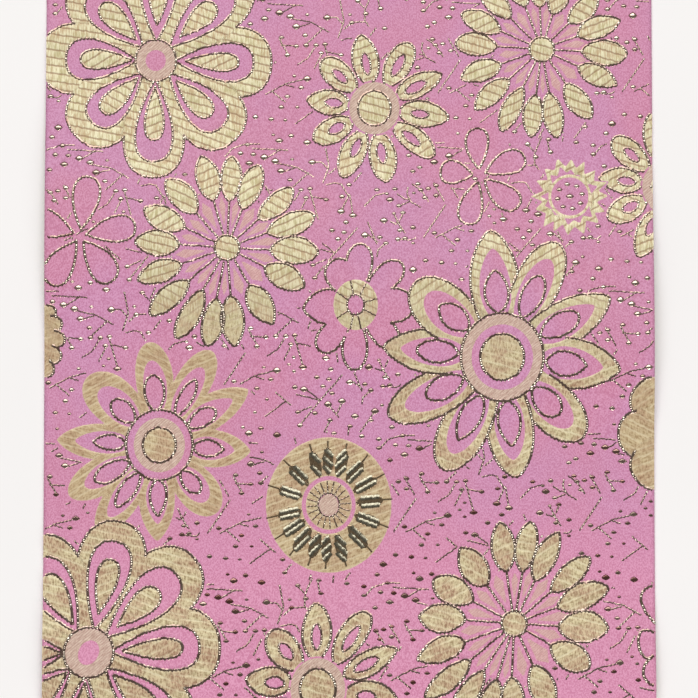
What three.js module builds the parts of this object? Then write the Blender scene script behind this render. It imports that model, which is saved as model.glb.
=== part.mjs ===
// A cut length of figured brocade lying on a table in soft swells.
// Millimetres, +Z up: X runs across the cloth, Y along it, and the table is at Z = 0.
import * as THREE from 'three';

// Driving dimensions
const CLOTH_WIDTH = 256;
const CLOTH_LENGTH = 304;
const CLOTH_THICKNESS = 1;
const CELLS_ACROSS = 32;
const CELLS_ALONG = 38;

// The satin ground as it looks in daylight
const SATIN_COLOUR = 0xd091b0;
const SATIN_ROUGHNESS = 0.55;
const SATIN_METALNESS = 0.1;

// Swells, where the cloth lifts a little between the flats it rests on.
// A crest runs from its left end to its right end, and its height changes evenly between them.
// The lift dies away over the far reach on the +Y side of the crest and the near reach on the other.
const SWELLS = [
  { crest: 'middle', leftX: -128, leftY: 46, leftHeight: 3.6,
    rightX: 128, rightY: 4, rightHeight: 5.2, farReach: 84, nearReach: 52 },
  { crest: 'near edge', leftX: -128, leftY: -134, leftHeight: 2.2,
    rightX: 128, rightY: -142, rightHeight: 3.2, farReach: 46, nearReach: 36 },
];

// One at the crest, falling smoothly to nothing at the end of its reach
function softFall(share) {
  return share < 1 ? 0.5 + 0.5 * Math.cos(Math.PI * share) : 0;
}

// Height of the underside above the table
function liftAt(x, y) {
  let lift = 0;
  for (const swell of SWELLS) {
    const share = (x - swell.leftX) / (swell.rightX - swell.leftX);
    const crestY = THREE.MathUtils.lerp(swell.leftY, swell.rightY, share);
    const height = THREE.MathUtils.lerp(swell.leftHeight, swell.rightHeight, share);
    const reach = y > crestY ? swell.farReach : swell.nearReach;
    lift += height * softFall(Math.abs(y - crestY) / reach);
  }
  return lift;
}

// A closed sheet: the face, the underside turned over, and the cut edge all round
function makeSheet() {
  const plane = new THREE.PlaneGeometry(CLOTH_WIDTH, CLOTH_LENGTH, CELLS_ACROSS, CELLS_ALONG);
  const spots = plane.getAttribute('position');
  const face = [];
  const underside = [];
  for (let i = 0; i < spots.count; i += 1) {
    const x = spots.getX(i);
    const y = spots.getY(i);
    const lift = liftAt(x, y);
    face.push(x, y, lift + CLOTH_THICKNESS);
    underside.push(x, y, lift);
  }

  const corners = Array.from(plane.index.array);
  const under = spots.count;
  const triangles = [...corners];
  for (let i = 0; i < corners.length; i += 3) {
    triangles.push(under + corners[i], under + corners[i + 2], under + corners[i + 1]);
  }

  const rim = rimOf(CELLS_ACROSS, CELLS_ALONG);
  rim.forEach((here, i) => {
    const next = rim[(i + 1) % rim.length];
    triangles.push(under + here, under + next, next);
    triangles.push(under + here, next, here);
  });

  const sheet = new THREE.BufferGeometry();
  sheet.setAttribute('position', new THREE.Float32BufferAttribute([...face, ...underside], 3));
  sheet.setIndex(triangles);
  sheet.computeVertexNormals();
  return sheet;
}

// Points of the outer edge in order, anticlockwise from the near left corner
function rimOf(across, along) {
  const at = (column, row) => row * (across + 1) + column;
  const rim = [];
  for (let column = 0; column < across; column += 1) {
    rim.push(at(column, along));
  }
  for (let row = along; row > 0; row -= 1) {
    rim.push(at(across, row));
  }
  for (let column = across; column > 0; column -= 1) {
    rim.push(at(column, 0));
  }
  for (let row = 0; row < along; row += 1) {
    rim.push(at(0, row));
  }
  return rim;
}

const satin = new THREE.MeshStandardMaterial({
  color: SATIN_COLOUR,
  roughness: SATIN_ROUGHNESS,
  metalness: SATIN_METALNESS,
});

const cloth = new THREE.Mesh(makeSheet(), satin);
cloth.name = 'brocade_cloth';

const brocade = new THREE.Group();
brocade.name = 'brocade';
brocade.add(cloth);

export default brocade;
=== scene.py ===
# %% [markdown]
# # A cut length of pink brocade
# Brocade is a satin cloth with a figure woven into it: gold flowers that stand a little proud of the
# pink ground, and shiny gilt thread that draws their outlines, the sprigs and the dots between them.
# The cloth could be painted with one picture, but then nothing would catch the light as yarn does.
# So each weave is its own mesh here: the satin sheet, the gold and pale fills, and the gilt threads.
# Sizes are in millimetres until a mesh is made, because that is how a weaver would state them.

# %% Load the frame
import itertools
import math

import bpy
import numpy as np
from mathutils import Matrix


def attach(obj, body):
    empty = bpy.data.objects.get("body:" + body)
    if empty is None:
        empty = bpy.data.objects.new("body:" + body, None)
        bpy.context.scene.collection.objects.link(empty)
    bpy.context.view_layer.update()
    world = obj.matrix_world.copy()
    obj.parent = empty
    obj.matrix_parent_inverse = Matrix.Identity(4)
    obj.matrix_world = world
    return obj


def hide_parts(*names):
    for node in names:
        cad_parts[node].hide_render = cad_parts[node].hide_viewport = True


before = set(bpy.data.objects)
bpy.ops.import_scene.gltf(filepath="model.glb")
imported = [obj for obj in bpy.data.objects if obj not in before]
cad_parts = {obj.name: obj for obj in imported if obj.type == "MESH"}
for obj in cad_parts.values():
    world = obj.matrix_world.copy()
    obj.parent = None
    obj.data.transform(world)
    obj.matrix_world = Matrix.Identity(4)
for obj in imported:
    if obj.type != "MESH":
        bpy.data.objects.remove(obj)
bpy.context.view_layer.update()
MM = 0.001
print("frame nodes:", list(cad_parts))

# %% [markdown]
# ## How the cloth lies
# The length lies almost flat on a table, with one broad swell across its middle and a lower one near
# the front edge. A cloth simulation would settle such a stiff cloth dead flat, so the two swells are
# stated as rows of a table, each a crest with a soft fall to either side. Very shallow puckers, where
# the metal thread draws the satin in, are added to the face alone.

# %% The swells and the puckers
CLOTH_WIDTH, CLOTH_LENGTH, CLOTH_THICKNESS = 256.0, 304.0, 1.0


def rows_of(columns, *rows):
    """Rows of a table as dictionaries, by the names of the columns."""
    return [dict(zip(columns.split(), row)) for row in rows]


SWELLS = rows_of(
    "left_y left_height right_y right_height far_reach near_reach",
    (46.0, 3.6, 4.0, 5.2, 84.0, 52.0),
    (-134.0, 2.2, -142.0, 3.2, 46.0, 36.0),
)
PUCKERS = rows_of(
    "wave turn start height",
    (31.0, 0.35, 0.4, 0.07), (22.0, 1.25, 2.1, 0.05), (17.0, 2.20, 4.0, 0.04),
)


def lift_at(x, y):
    """Height of the underside above the table."""
    share = x / CLOTH_WIDTH + 0.5
    lift = np.zeros_like(x)
    for swell in SWELLS:
        crest = swell["left_y"] + (swell["right_y"] - swell["left_y"]) * share
        height = swell["left_height"] + (swell["right_height"] - swell["left_height"]) * share
        reach = np.where(y > crest, swell["far_reach"], swell["near_reach"])
        lift += height * (0.5 + 0.5 * np.cos(np.pi * np.minimum(np.abs(y - crest) / reach, 1.0)))
    return lift


def face_at(x, y):
    """Height of the satin face above the table."""
    face = lift_at(x, y) + CLOTH_THICKNESS
    for pucker in PUCKERS:
        run = x * math.cos(pucker["turn"]) + y * math.sin(pucker["turn"])
        face = face + pucker["height"] * np.sin(2 * np.pi * run / pucker["wave"] + pucker["start"])
    return face


def slope_at(x, y, step=0.5):
    """Tilt of the face about X, in radians."""
    return np.arctan((face_at(x, y + step) - face_at(x, y - step)) / (2 * step))


# %% [markdown]
# ## The weaver's chart
# A jacquard weaver plans the figure on squared paper. The chart here is the same thing in numbers: a
# fine grid that says, at each square, how far it is from the edge of the gold weave and of the pale
# weave. Shapes are closed paths, and the distance to a path is negative inside it, so joining two shapes
# is a minimum and cutting one out of another is a maximum.

# %% Chart layers and how shapes are woven into them
SQUARE, FAR, MARGIN = 0.32, 9.0, 2.5
CORNER = np.array([CLOTH_WIDTH, CLOTH_LENGTH]) / 2
COLUMNS, ROWS = (round(size / SQUARE) + 1 for size in (CLOTH_WIDTH, CLOTH_LENGTH))
chart_x = np.linspace(-CORNER[0], CORNER[0], COLUMNS)
chart_y = np.linspace(-CORNER[1], CORNER[1], ROWS)
gold, pale = np.full((2, ROWS, COLUMNS), FAR)
lean, blush = np.zeros((2, ROWS, COLUMNS))
taken = np.zeros((ROWS, COLUMNS), bool)


def window(points):
    """The rows and columns of the chart around some points."""
    first = np.floor((points.min(axis=0) - MARGIN + CORNER) / SQUARE).astype(int)
    last = np.ceil((points.max(axis=0) + MARGIN + CORNER) / SQUARE).astype(int)
    first, last = np.clip([first, last], 0, (COLUMNS, ROWS))
    return slice(first[1], last[1]), slice(first[0], last[0])


def distance_to(path, x, y):
    """Distance from places to a closed path, negative inside it."""
    nearest = np.full(x.shape, FAR * FAR)
    inside = np.zeros(x.shape, bool)
    for (ax, ay), (bx, by) in zip(path, np.roll(path, -1, axis=0)):
        ex, ey = bx - ax, by - ay
        run = ex * ex + ey * ey
        if run < 1e-12:
            continue
        px, py = x - ax, y - ay
        share = np.clip((px * ex + py * ey) / run, 0.0, 1.0)
        nearest = np.minimum(nearest, (px - share * ex) ** 2 + (py - share * ey) ** 2)
        if ay != by:
            inside ^= ((ay > y) != (by > y)) & (px < ex * py / ey)
    return np.where(inside, -np.sqrt(nearest), np.sqrt(nearest))


def field(paths):
    """Rows, columns and joined distance of several paths."""
    rows, columns = window(np.concatenate(paths))
    joined = np.full((rows.stop - rows.start, columns.stop - columns.start), FAR)
    for path in paths:
        own_rows, own_columns = window(path)
        x, y = np.meshgrid(chart_x[own_columns], chart_y[own_rows])
        up, aside = own_rows.start - rows.start, own_columns.start - columns.start
        if x.size:
            part = joined[up:up + x.shape[0], aside:aside + x.shape[1]]
            part[:] = np.minimum(part, distance_to(path, x, y))
    return rows, columns, joined


def weave(layer, paths, slant=0.0, pink=0.0):
    """Add shapes to a layer, with the slant of their binding lines and the pink that shows through."""
    rows, columns, away = field(paths)
    layer[rows, columns] = np.minimum(layer[rows, columns], away)
    near = away < 2 * SQUARE
    lean[rows, columns][near] = slant
    blush[rows, columns][near] = pink


def cut(layer, paths):
    """Leave shapes out of a layer."""
    rows, columns, away = field(paths)
    layer[rows, columns] = np.maximum(layer[rows, columns], -away)


def looked_up(values, points, rows=slice(0, ROWS), columns=slice(0, COLUMNS)):
    """Values of a chart window at points; points off the window count as far."""
    row = np.round((points[:, 1] + CORNER[1]) / SQUARE).astype(int) - rows.start
    column = np.round((points[:, 0] + CORNER[0]) / SQUARE).astype(int) - columns.start
    inside = (row >= 0) & (row < values.shape[0]) & (column >= 0) & (column < values.shape[1])
    found = np.full(len(points), FAR)
    found[inside] = values[row[inside], column[inside]]
    return found


print(f"chart of {COLUMNS} by {ROWS} squares of {SQUARE} mm")

# %% [markdown]
# Gilt thread is kept as rows of stitches: place, heading, width, path number, step, and whether the thread
# is drawn there (1) or knotted into a bead (0). A loom can draw it along where a path runs level, but
# knots it at every bind where the path is steep, so steep runs get beads as well.

# %% Thread along the edges of shapes
stitches = np.zeros((0, 7))
path_numbers = itertools.count()
THREAD_WIDTH, LONG_PITCH, BEAD_PITCH, STEEP = 1.35, 0.8, 2.0, 0.80
HIDDEN = 1.3 * SQUARE


def lay(rows):
    """Put stitches on the cloth."""
    global stitches
    stitches = np.concatenate([stitches, rows])


def clear(paths, gap=1.0):
    """Bare satin inside the shapes, and no sprigs there later."""
    global stitches
    rows, columns, away = field(paths)
    for layer in (gold, pale):
        layer[rows, columns] = np.maximum(layer[rows, columns], -away)
    taken[rows, columns] |= away < gap
    stitches = stitches[looked_up(away, stitches, rows, columns) > 0]


def along_path(path, closed, width, pitch):
    """Even stitches along a path."""
    corners = np.concatenate([path, path[:1]]) if closed else path
    legs = np.diff(corners, axis=0)
    run = np.concatenate([[0.0], np.cumsum(np.hypot(legs[:, 0], legs[:, 1]))])
    count = max(round(run[-1] / pitch), 1)
    at = np.linspace(0.0, run[-1], count + 1)
    leg = legs[np.clip(np.searchsorted(run, at) - 1, 0, len(legs) - 1)]
    x, y = np.interp(at, run, corners[:, 0]), np.interp(at, run, corners[:, 1])
    label = np.full(count + 1, next(path_numbers))
    heading = np.arctan2(leg[:, 1], leg[:, 0])
    return np.stack([x, y, heading, np.full(count + 1, width), label, np.arange(count + 1)], 1)


def thread_along(path, closed, width, pitch=BEAD_PITCH, limit=STEEP):
    """A drawn thread along a path, and beads where it is steep."""
    gentle = along_path(path, closed, width, LONG_PITCH)
    steep = along_path(path, closed, width, pitch)[:-1]
    steep = steep[np.abs(np.cos(steep[:, 2])) < math.cos(limit)]
    drawn = np.concatenate([np.ones(len(gentle)), np.zeros(len(steep))])
    return np.column_stack([np.concatenate([gentle, steep]), drawn])


def outline(paths, width=THREAD_WIDTH):
    """Gilt thread along the joined edge of the shapes."""
    rows, columns, away = field(paths)
    for path in paths:
        thread = thread_along(path, True, width)
        lay(thread[looked_up(away, thread, rows, columns) > -HIDDEN])


def outline_each(paths, width=THREAD_WIDTH, closed=True):
    """Gilt thread along the edge of each shape."""
    for path in paths:
        lay(thread_along(path, closed, width))


def outline_petals(paths, overlap):
    """Gilt thread round petals that lie each over the one before, hidden under the next."""
    for index, path in enumerate(paths):
        thread = thread_along(path, True, THREAD_WIDTH)
        x, y = thread[:, 0], thread[:, 1]
        seen = distance_to(paths[(index + 1) % len(paths)], x, y) > 0
        lay(thread[seen & (distance_to(paths[index - 1], x, y) > -overlap)])


# %% [markdown]
# ## Petals, rings and spokes
# Every flower on the cloth is made of a few shapes. A petal is a width that grows from its base and
# dies away at its tip, and the two powers say how blunt each end is: near one it is pointed, near a
# half it is round. The loom packs the weft a little loosely, so flowers come out taller than wide.

# %% Shapes of the flowers
PETAL_POINTS, RING_POINTS = 22, 56
SLANTS = (-0.26, 0.52, -0.40, 0.36)
draw = np.random.default_rng(26)


def turned(u, v, degrees):
    """Points along and across a direction, as places."""
    c, s = math.cos(math.radians(degrees)), math.sin(math.radians(degrees))
    return np.stack([u * c - v * s, u * s + v * c], 1)


def petal(turn, start, end, half_width, base, tip, bow=0.0):
    """A petal from start to end along a direction in degrees, with blunt or pointed ends."""
    share = 0.5 - 0.5 * np.cos(np.linspace(0.0, np.pi, PETAL_POINTS))
    peak = base / (base + tip)
    width = (share / peak) ** base * ((1 - share) / (1 - peak)) ** tip * half_width
    along = start + (end - start) * share
    middle = bow * np.sin(np.pi * share)
    v = np.concatenate([middle + width, (middle - width)[-2:0:-1]])
    return turned(np.concatenate([along, along[-2:0:-1]]), v, turn)


def ring(radius, tall=1.0, tilt=0.0):
    """A round or oval path, its long way tilted from upright by some degrees."""
    angle = np.linspace(0.0, 2 * np.pi, RING_POINTS, endpoint=False)
    return turned(radius * np.cos(angle), radius * tall * np.sin(angle), -tilt)


def spoke(turn, start, end):
    """A straight path outwards."""
    return turned(np.array([start, end]), np.zeros(2), turn)


def place(paths, centre, wide=1.0, tall=1.0, skew=0.0):
    """Paths moved to a flower's centre, drawn out across and along the cloth, and skewed with its grain."""
    return [np.stack([p[:, 0] * wide + p[:, 1] * skew, p[:, 1] * tall], 1) + centre for p in paths]


def vary(spread):
    """A size factor a little over or under one."""
    return 1.0 + draw.uniform(-spread, spread)


def weave_petals(paths, pink=0.0, first=0):
    """Gold petals whose binding lines lean one way on one and the other way on the next."""
    for index, path in enumerate(paths, first):
        weave(gold, [path], SLANTS[index % len(SLANTS)] * vary(0.2), pink)


# %% [markdown]
# ## Layered flowers
# The figures that lie under others come first, because each later flower clears its own ground. The soft
# one has broad gold bands with no outline, pink inside, a gilt loop in every petal and an oval eye of
# rings. The same maker's shape with an outline round the gold is the big flower on the right.

# %% Layered flowers
LAYERED_COLUMNS = "turn reach half tip loop_end loop_half loop_tip"
SOFT_PETALS = rows_of(
    LAYERED_COLUMNS,
    (177, 43.3, 7.9, 0.74, 27.7, 3.2, 0.85), (137, 42.0, 10.0, 0.50, 26.9, 4.0, 0.55),
    (95.5, 43.7, 8.2, 0.52, 29.4, 4.2, 0.55), (61, 45.5, 7.8, 0.52, 31.1, 2.9, 0.62),
    (32, 44.3, 7.6, 0.74, 27.7, 3.5, 0.55), (-4, 38.7, 8.2, 0.76, 27.1, 3.5, 0.85),
    (-49.5, 37.6, 8.8, 0.50, 26.0, 3.4, 0.55), (-91, 40.5, 7.8, 0.76, 29.8, 3.5, 0.90),
    (-125, 45.0, 7.6, 0.60, 31.3, 3.2, 0.66), (-151, 43.6, 8.0, 0.55, 30.7, 3.8, 0.58),
)
BIG_PETALS = rows_of(
    LAYERED_COLUMNS,
    (95, 53.5, 10.2, 0.70, 36.5, 5.0, 0.78), (64, 53.4, 9.3, 0.52, 37.6, 4.5, 0.58),
    (29, 51.6, 9.2, 0.74, 36.5, 4.7, 0.58), (-6, 49.6, 10.7, 0.76, 35.5, 5.2, 0.80),
    (-45, 47.8, 10.0, 0.52, 33.9, 5.0, 0.55), (-83.5, 50.6, 9.7, 0.64, 37.4, 4.8, 0.86),
    (-118, 53.1, 9.8, 0.52, 39.3, 4.5, 0.86), (-152.5, 53.4, 9.5, 0.56, 35.7, 4.7, 0.58),
    (175, 49.9, 9.3, 0.74, 35.9, 4.7, 0.64), (140.5, 48.0, 11.0, 0.48, 34.0, 4.9, 0.74),
)
SOFT_FLOWER, BIG_FLOWER = rows_of(
    "centre petals inner inner_half outlined loop_start rings pale_outside pink",
    ((-79.6, -40.3), SOFT_PETALS, 0.81, 0.56, False, 14.3, (14.0, 11.2, 6.9), False, 0.65),
    ((64.2, -3.5), BIG_PETALS, 0.85, 0.62, True, 18.4, (17.3, 12.4, 9.1), True, 0.0),
)
PETAL_HEART, PETAL_OVERLAP, PETAL_BOW, RING_TALL = 4.0, 4.0, 0.7, 1.06


def layered_flower(centre, petals, inner, inner_half, outlined, loop_start, rings, pale_outside, pink):
    bodies, pinks, loops = [], [], []
    for row in petals:
        turn, reach, half, tip = row["turn"], row["reach"], row["half"], row["tip"]
        bow = draw.uniform(-PETAL_BOW, PETAL_BOW)
        bodies.append(petal(turn, PETAL_HEART, reach, half, base=0.80, tip=tip, bow=bow))
        start, end = rings[0] * 0.9, reach * inner
        pinks.append(petal(turn, start, end, half * inner_half, base=0.55, tip=tip, bow=bow))
        end, tip = row["loop_end"], row["loop_tip"]
        loops.append(petal(turn, loop_start, end, row["loop_half"], base=0.70, tip=tip))
    bodies, pinks, loops = (place(paths, centre) for paths in (bodies, pinks, loops))
    clear(bodies)
    weave_petals(bodies, pink)
    cut(gold, pinks)
    if outlined:
        outline_petals(bodies, PETAL_OVERLAP)
    outline_each(loops)
    outer, middle, inmost = place([ring(radius, RING_TALL) for radius in rings], centre)
    clear([outer])
    weave(pale, [outer if pale_outside else middle])
    cut(pale, [middle if pale_outside else inmost])
    weave(gold, [inmost], SLANTS[0], pink / 2)
    outline_each([outer, inmost])


# %% [markdown]
# ## Open flowers
# Some flowers are only a line of gilt thread: loops from a common point, or a ring of petals round a
# small gold wheel. They are woven before the big flower, whose petal covers one of theirs.

# %% Open flowers
OPEN = rows_of(
    "centre half loops",
    ((54.9, 73.2), 4.9, ((92, 20.0), (22, 20.6), (-39, 21.0), (-104, 21.4), (174, 16.4))),
    ((-113.0, 47.5), 5.7, ((82, 25.2), (10, 23.5), (-55, 23.5), (-122, 23.8), (160, 23.0))),
    ((134.5, -122.0), 6.0, ((112, 24.0), (186, 13.8), (246, 20.0))),
)
OPEN_HEART = 2.8
WHEEL_PETALS = rows_of(
    "turn end half_width base tip",
    (85, 25.7, 5.4, 0.90, 0.50), (42, 26.0, 5.2, 0.90, 0.50), (-1, 24.5, 7.2, 0.60, 0.50),
    (-45, 25.0, 5.2, 0.80, 0.50), (-91, 27.3, 5.2, 0.90, 0.54), (232, 24.5, 5.2, 0.80, 0.48),
    (184, 21.9, 7.4, 0.50, 0.72), (117, 20.8, 6.2, 0.70, 0.46),
)
WHEEL_CENTRE, WHEEL_HOLE, WHEEL_RIM = (2.8, 18.4), 3.6, 9.6
WHEEL_SPOKES = (150, 104, 62, 14, -26, -76, -104, 213)
RIM_TALL, HOLE_TALL = 1.13, 1.22


def open_flower(centre, half, loops):
    paths = []
    for turn, reach in loops:
        wide, bow = half * vary(0.04), draw.uniform(-0.6, 0.6)
        paths.append(petal(turn, OPEN_HEART, reach, wide, base=0.95, tip=0.45, bow=bow))
    paths = place(paths, centre)
    clear(paths)
    outline_each(paths)


def wheel_flower(centre):
    paths = place([petal(start=PETAL_HEART, **row) for row in WHEEL_PETALS], centre)
    wheel = place([ring(WHEEL_RIM, RIM_TALL)], centre)
    clear(paths + wheel)
    outline(paths)
    clear(wheel)
    weave(gold, wheel, SLANTS[2])
    middle = place([ring(WHEEL_HOLE, HOLE_TALL)], centre)
    cut(gold, middle)
    outline(middle, THREAD_WIDTH * 0.8)
    lines = [spoke(turn, WHEEL_HOLE, WHEEL_RIM * 0.97) for turn in WHEEL_SPOKES]
    outline_each(place(lines, centre, tall=RIM_TALL), THREAD_WIDTH * 0.6, closed=False)


layered_flower(**SOFT_FLOWER)
for row in OPEN:
    open_flower(**row)
wheel_flower(WHEEL_CENTRE)
layered_flower(**BIG_FLOWER)
print(f"gold so far covers {np.mean(gold < 0):.1%} of the cloth")

# %% [markdown]
# ## Lobed flowers
# The biggest flowers have round gold lobes joined into one body. Each lobe holds a pink drop with the
# wide end outwards and a gold seed inside the drop, all outlined, round a pale eye with a pink middle.

# %% Lobed flowers
LOBES = rows_of(
    "reach half drop_end drop_half seed_start seed_end seed_half",
    (48.9, 15.1, 41.4, 8.2, 12.4, 35.0, 3.8), (52.5, 13.4, 43.5, 8.2, 14.5, 34.5, 4.4),
    (50.0, 12.6, 42.5, 7.9, 15.0, 35.5, 4.0), (48.0, 14.2, 39.5, 8.3, 12.0, 33.0, 4.5),
    (48.9, 15.1, 38.0, 8.8, 9.9, 31.7, 4.2), (46.5, 14.3, 37.6, 8.1, 10.8, 31.5, 4.3),
    (50.0, 12.7, 43.3, 8.0, 11.3, 34.0, 4.0), (47.7, 14.3, 39.9, 8.2, 12.3, 33.0, 4.4),
)
LOBED = rows_of(
    "centre size eye eye_tilt middle middle_tall turns",
    ((-81.7, 122.2), 1.0, 8.6, 0, 3.8, 1.05, (358.5, 44, 88, 134, 179, 224.5, 269, 315)),
    ((-108.6, -126.9), 1.12, 10.3, 28, 3.7, 1.32, (3, 42, 76.5, 120, 181, 222, 264, 318)),
)
LOBE_SLANT, EYE_TALL = -0.27, 1.03


def lobed_flower(centre, size, eye, eye_tilt, middle, middle_tall, turns):
    lobes, drops, seeds = [], [], []
    for turn, row in zip(turns, LOBES):
        lobes.append(petal(turn, 0.0, row["reach"], row["half"], base=0.95, tip=0.44))
        drops.append(petal(turn, eye / size * 0.9, row["drop_end"], row["drop_half"], base=1.0, tip=0.42))
        seeds.append(petal(turn, row["seed_start"], row["seed_end"], row["seed_half"], base=1.05, tip=0.45))
    lobes, drops, seeds = (place(paths, centre, size, size) for paths in (lobes, drops, seeds))
    clear(lobes)
    for path in lobes:
        weave(gold, [path], LOBE_SLANT * vary(0.5))
    cut(gold, drops)
    weave_petals(seeds, first=1)
    outline(lobes)
    outline_each(drops + seeds)
    disc, bare = place([ring(eye, EYE_TALL, eye_tilt), ring(middle, middle_tall, eye_tilt)], centre)
    clear([disc])
    weave(pale, [disc])
    cut(pale, [bare])
    outline([disc])


for row in LOBED:
    lobed_flower(**row)

# %% [markdown]
# ## Leaf flowers
# Sixteen outlined leaves stand on gilt spokes round a small gold eye, with pale kites between the
# spokes. The flower comes three times, and the loom has drawn it out a little differently each time, so
# one table of leaves is placed with three sets of stretch and skew.

# %% Leaf flowers
LEAVES = rows_of(
    "turn inner outer half",
    (87.5, 19.8, 38.9, 4.1), (69, 17.6, 37.6, 4.2), (42.5, 18.1, 37.2, 4.1), (20.5, 17.9, 39.0, 4.7),
    (-3, 18.1, 38.4, 5.4), (-27, 17.9, 36.4, 4.7), (-59, 18.6, 37.4, 4.7), (-85.5, 20.3, 41.4, 4.4),
    (-101.5, 21.8, 41.9, 4.1), (-119.5, 20.5, 43.6, 3.9), (-139, 21.3, 42.8, 4.1), (-160, 20.4, 39.8, 4.5),
    (176, 20.2, 38.9, 5.0), (154.5, 19.9, 38.6, 4.9), (131.5, 19.6, 38.6, 4.6), (106, 20.8, 40.3, 4.5),
)
LEAVED = rows_of(
    "centre wide tall skew",
    ((-51.2, 42.4), 1.0, 1.0, 0.0), ((81.5, 126.9), 0.935, 0.913, -0.077), ((69.0, -114.9), 1.03, 1.09, 0.14),
)
LEAF_EYE, LEAF_FULL, LEAF_GROUND = 5.2, 1.06, 21.0
KITE_START, KITE_END, KITE_HALF, KITE_WIDEST, KITE_GAP = 6.0, 22.0, 2.2, 0.70, 11
FINE_WIDTH = THREAD_WIDTH * 0.85


def kite(turn, start, end, half):
    """A kite that points to the flower's middle."""
    widest = start + (end - start) * KITE_WIDEST
    return turned(np.array([start, widest, end, widest]), np.array([0.0, -half, 0.0, half]), turn)


def leaf_flower(centre, wide, tall, skew):
    leaves, spokes, kites = [], [], []
    for index, row in enumerate(LEAVES):
        turn, inner, half = row["turn"], row["inner"], row["half"] * vary(0.04) * LEAF_FULL
        tip, bow = draw.uniform(0.62, 0.86), draw.uniform(-0.6, 0.6)
        leaves.append(petal(turn, inner, row["outer"], half, base=0.72, tip=tip, bow=bow))
        spokes.append(spoke(turn, LEAF_EYE, inner))
        gap = (turn - LEAVES[index - 1]["turn"]) % -360 / 2
        kites.append(kite(turn - gap, KITE_START, KITE_END * vary(0.05), KITE_HALF * abs(gap) / KITE_GAP))
    leaves, spokes, kites = (place(paths, centre, wide, tall, skew) for paths in (leaves, spokes, kites))
    eye = place([ring(LEAF_EYE)], centre)
    clear(leaves + place([ring(LEAF_GROUND)], centre, wide, tall, skew))
    weave(pale, kites, pink=1.0)
    outline_each(spokes, FINE_WIDTH, closed=False)
    weave_petals(leaves)
    outline_each(leaves)
    clear(eye)
    weave(gold, eye, SLANTS[0])
    outline(eye)


for row in LEAVED:
    leaf_flower(**row)

# %% [markdown]
# ## Holed flowers
# The smaller flower has ten pointed gold petals, each with a pink slit, round a pale disc with a gold
# eye. The slits are cut after the gold is woven, because a hole is quicker to cut than to weave around.

# %% Holed flowers
HOLED_PETALS = rows_of(
    "turn reach half tip slit slit_half",
    (-7.5, 31.8, 5.5, 0.76, 19.4, 3.9), (27, 31.9, 4.7, 0.76, 19.6, 5.0), (61, 31.4, 5.3, 0.50, 20.8, 5.2),
    (100.5, 31.6, 5.5, 0.70, 19.1, 4.8), (137, 30.0, 5.4, 0.50, 19.9, 4.1),
    (172.5, 28.8, 5.3, 0.76, 17.3, 3.9), (208.5, 29.0, 5.2, 0.56, 18.1, 3.9),
    (245.5, 32.7, 5.1, 0.66, 18.7, 4.3), (279, 31.9, 5.5, 0.62, 19.3, 4.7),
    (320.5, 32.5, 4.8, 0.60, 20.2, 4.9),
)
HOLED = rows_of(
    "centre wide tall skew",
    ((10.7, 101.9), 1.0, 1.0, 0.0), ((-13.0, -142.0), 1.07, 1.15, 0.17), ((134.2, 68.5), 1.0, 1.0, -0.03),
)
HOLED_START, SLIT_WIDTH, DISC, DISC_TALL, HOLED_EYE = 10.6, 2.0, 11.1, 1.045, 6.9


def holed_flower(centre, wide, tall, skew):
    petals, slits = [], []
    for row in HOLED_PETALS:
        turn, slit, slit_half = row["turn"], row["slit"], row["slit_half"]
        bow = draw.uniform(-0.4, 0.4)
        petals.append(petal(turn, HOLED_START, row["reach"], row["half"], base=0.62, tip=row["tip"], bow=bow))
        width = SLIT_WIDTH * vary(0.1)
        slits.append(petal(turn, slit - slit_half, slit + slit_half, width, base=0.62, tip=0.62))
    petals, slits = (place(paths, centre, wide, tall, skew) for paths in (petals, slits))
    clear(petals)
    disc, eye = place([ring(DISC, DISC_TALL), ring(HOLED_EYE, RING_TALL)], centre, wide, tall)
    weave_petals(petals)
    outline_each(petals)
    cut(gold, slits)
    outline_each(slits, FINE_WIDTH)
    clear([disc])
    weave(pale, [disc])
    cut(pale, [eye])
    weave(gold, [eye], SLANTS[0])
    outline([eye])


for row in HOLED:
    holed_flower(**row)

# %% [markdown]
# ## Sun, fan and the flowers cut by the edge
# The sun is a thin gold ring with flames and no outline. The fan flower is a plain gold oval with a
# pink ring in it and ticks like a clock's; its blades come later. Two gold flowers run off the edges.

# %% Sun, fan and edge flowers
SUN_CENTRE, SUN_RIM, SUN_BAND = (93.0, 64.3), 7.6, 1.7
FLAMES = np.array([108, 87, 66, 45, 20, 1, -23, -42, -69, -94, -116, -132, -160, 180, 155, 133])
FLAME_TIP, FLAME_NOTCH, FLAME_TALL, FLAME_ROOT = 17.2, 12.2, 1.04, 0.73
FAN_CENTRE, FAN_WIDTH, FAN_TALL = (-8.5, -65.4), 26.6, 28.6 / 26.6
FAN_RING, FAN_DISC, FAN_HUB, FAN_TICKS, TICK_START = 11.0, 9.9, 4.5, 20, 4
FAN_PINK = EDGE_PINK = 0.5
EDGE = rows_of(
    "centre reach half turns",
    ((-143.2, 3.4), 23.4, 4.3, (53, 35, 20, 2, -18, -37, -56)),
    ((143.2, -35.7), 30.2, 10.0, (95, 138, 180, 221, 264)),
)
EDGE_HEART, EDGE_OVERLAP = 2.0, 2.0


def star(tips, notches):
    """A star with a tip at each flame and a notch halfway to the next."""
    halfway = FLAMES - (FLAMES - np.roll(FLAMES, -1)) % 360 / 2
    radius = np.column_stack([tips, notches]).ravel()
    angle = np.radians(np.column_stack([FLAMES, halfway]).ravel())
    return np.stack([radius * np.cos(angle), radius * np.sin(angle)], 1)


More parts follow.
